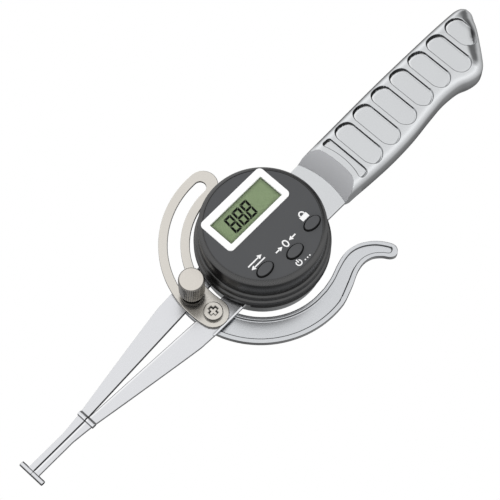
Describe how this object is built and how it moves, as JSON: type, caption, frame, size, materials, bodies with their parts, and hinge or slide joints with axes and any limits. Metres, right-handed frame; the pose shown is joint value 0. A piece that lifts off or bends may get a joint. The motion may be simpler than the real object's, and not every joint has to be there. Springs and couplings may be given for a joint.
{
  "type": "digital inside caliper",
  "caption": "Pistol-style inside caliper with two T-ended steel legs on one pivot, slotted quadrant with lock knob, finger lever, round digital display head and ribbed cast handle.",
  "frame": {"origin": "pivot axis of the legs, at the flat back face of the round base that the caliper lies on", "axes": "+X towards the end of the handle, the legs point along -X; +Y towards the slotted quadrant; +Z out of the display face"},
  "size_m": [0.2918, 0.0908, 0.0315],
  "materials": {
    "cast_grip": "fine satin, blasted and clear-coated",
    "bronze": "turned",
    "spring_steel": "blued strip",
    "leg_steel": "fine ground, bright",
    "pin_steel": "polished",
    "dark_steel": "machine finish",
    "nickel": "satin nickel plate, slightly warm",
    "black_case": "fine satin, near black",
    "seal_rubber": "matte",
    "grey_face": "matte dark grey",
    "white_frame": "smooth white",
    "clear_window": "clear",
    "lcd_glass": "reflective liquid crystal, grey green",
    "board_green": "solder mask",
    "pad_rubber": "silicone, matte",
    "cell_steel": "polished can"
  },
  "bodies": {
    "body": {"body_casting": "cast_grip", "pivot_bush": "bronze", "pivot_cap": "cast_grip", "return_spring": "spring_steel", "fixed_leg": "leg_steel", "fixed_tip_pin": "pin_steel", "leg_screws": "dark_steel", "leg_dowel": "dark_steel", "quadrant_plate": "nickel", "quadrant_screw": "nickel", "lower_case": "black_case", "case_seal": "seal_rubber", "upper_case": "black_case", "face_plate": "grey_face", "lcd_frame": "white_frame", "window_lens": "clear_window", "lcd_panel": "lcd_glass", "contact_strips": "seal_rubber", "circuit_board": "board_green", "button_pad": "pad_rubber", "encoder_stator": "board_green", "coin_cell": "cell_steel", "battery_holder": "black_case", "battery_clip": "bronze", "case_screws": "dark_steel", "unit_screws": "dark_steel"},
    "jaw": {"moving_leg": "leg_steel", "moving_tip_pin": "pin_steel", "trigger_lever": "cast_grip", "lever_rivets": "pin_steel", "pivot_shaft": "pin_steel", "thrust_washer": "bronze", "shaft_clip": "dark_steel", "spring_pin": "pin_steel", "encoder_rotor": "board_green", "rotor_nut": "bronze", "lock_stud": "pin_steel", "lock_washer": "nickel"},
    "knob": {"lock_knob": "nickel"},
    "unit_key": {"unit_button": "grey_face"},
    "zero_key": {"zero_button": "grey_face"},
    "hold_key": {"hold_button": "grey_face"}
  },
  "joints": [
    {"name": "leg_pivot", "type": "hinge", "parent": "body", "child": "jaw", "pos_m": [0, 0, 0.0045], "axis": [0, 0, -1], "range_deg": [0, 78]},
    {"name": "knob_turn", "type": "hinge", "parent": "jaw", "child": "knob", "pos_m": [-0.03816, 0.00584, 0.0187], "axis": [0, 0, 1], "range_deg": [0, 180]},
    {"name": "unit_press", "type": "slide", "parent": "body", "child": "unit_key", "axis": [0, 0, -1], "range_m": [0, 0.0008], "stiffness_N_per_m": 600, "springref_m": -0.0006},
    {"name": "zero_press", "type": "slide", "parent": "body", "child": "zero_key", "axis": [0, 0, -1], "range_m": [0, 0.0008], "stiffness_N_per_m": 600, "springref_m": -0.0006},
    {"name": "hold_press", "type": "slide", "parent": "body", "child": "hold_key", "axis": [0, 0, -1], "range_m": [0, 0.0008], "stiffness_N_per_m": 600, "springref_m": -0.0006}
  ]
}
